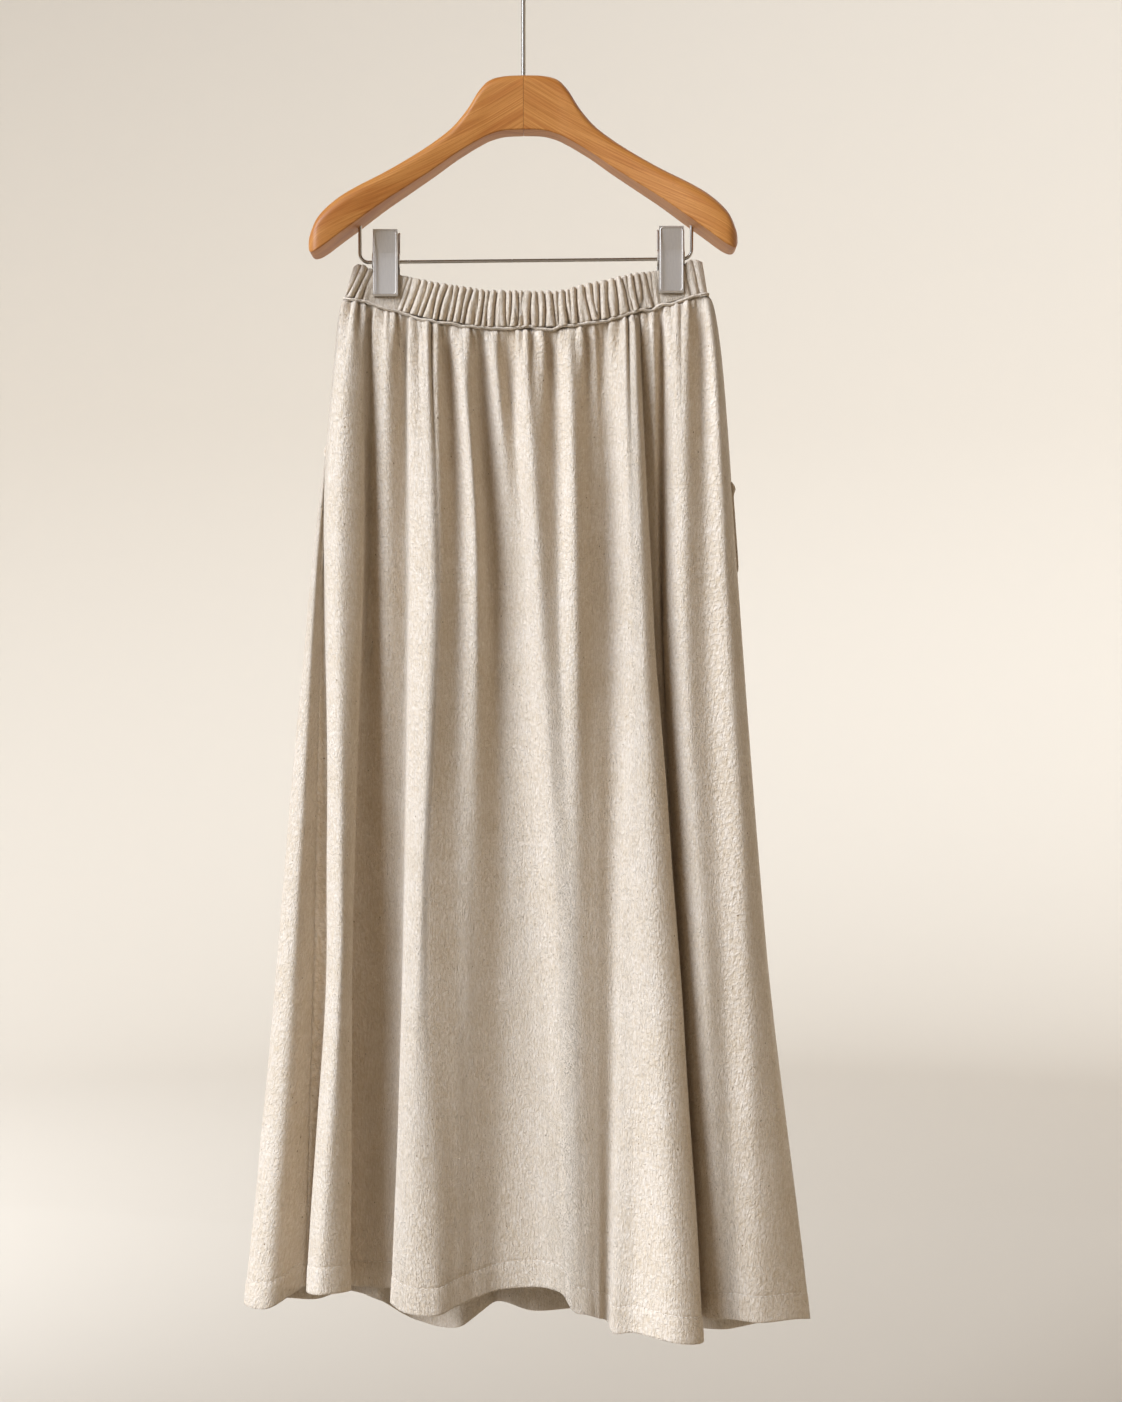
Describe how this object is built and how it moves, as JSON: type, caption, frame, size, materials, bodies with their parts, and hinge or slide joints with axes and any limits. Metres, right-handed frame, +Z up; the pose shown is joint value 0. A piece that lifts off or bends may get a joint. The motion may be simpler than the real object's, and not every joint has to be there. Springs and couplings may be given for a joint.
{
  "type": "maxi skirt on a clip hanger",
  "caption": "Long gathered linen-blend skirt with a ruffled elastic waistband and in-seam pockets, hung by its waist from a contoured wooden hanger with metal clips.",
  "frame": {"origin": "highest point inside the hook's crook, where a rail touches it, on the stem's axis", "axes": "+Z up along the stem, +X to the viewer's right, the skirt's front faces -Y"},
  "size_m": [0.567, 0.1719, 1.4026],
  "materials": {
    "linen_cloth": "matte woven linen blend",
    "varnished_wood": "clear satin varnish",
    "bright_wire": "plated, slightly worn",
    "satin_metal": "satin plated sheet",
    "soft_pad": "matte"
  },
  "bodies": {
    "root": {"clip_bar": "bright_wire", "clip_left_back": "satin_metal", "clip_left_back_pad": "soft_pad", "clip_left_front": "satin_metal", "clip_left_front_pad": "soft_pad", "clip_left_spring": "bright_wire", "clip_right_back": "satin_metal", "clip_right_back_pad": "soft_pad", "clip_right_front": "satin_metal", "clip_right_front_pad": "soft_pad", "clip_right_spring": "bright_wire", "hanger_arm_left": "varnished_wood", "hanger_arm_right": "varnished_wood", "hook": "bright_wire", "pocket_left": "linen_cloth", "pocket_right": "linen_cloth", "skirt_back": "linen_cloth", "skirt_front": "linen_cloth", "waist_piping": "linen_cloth", "waistband": "linen_cloth"}
  },
  "joints": []
}
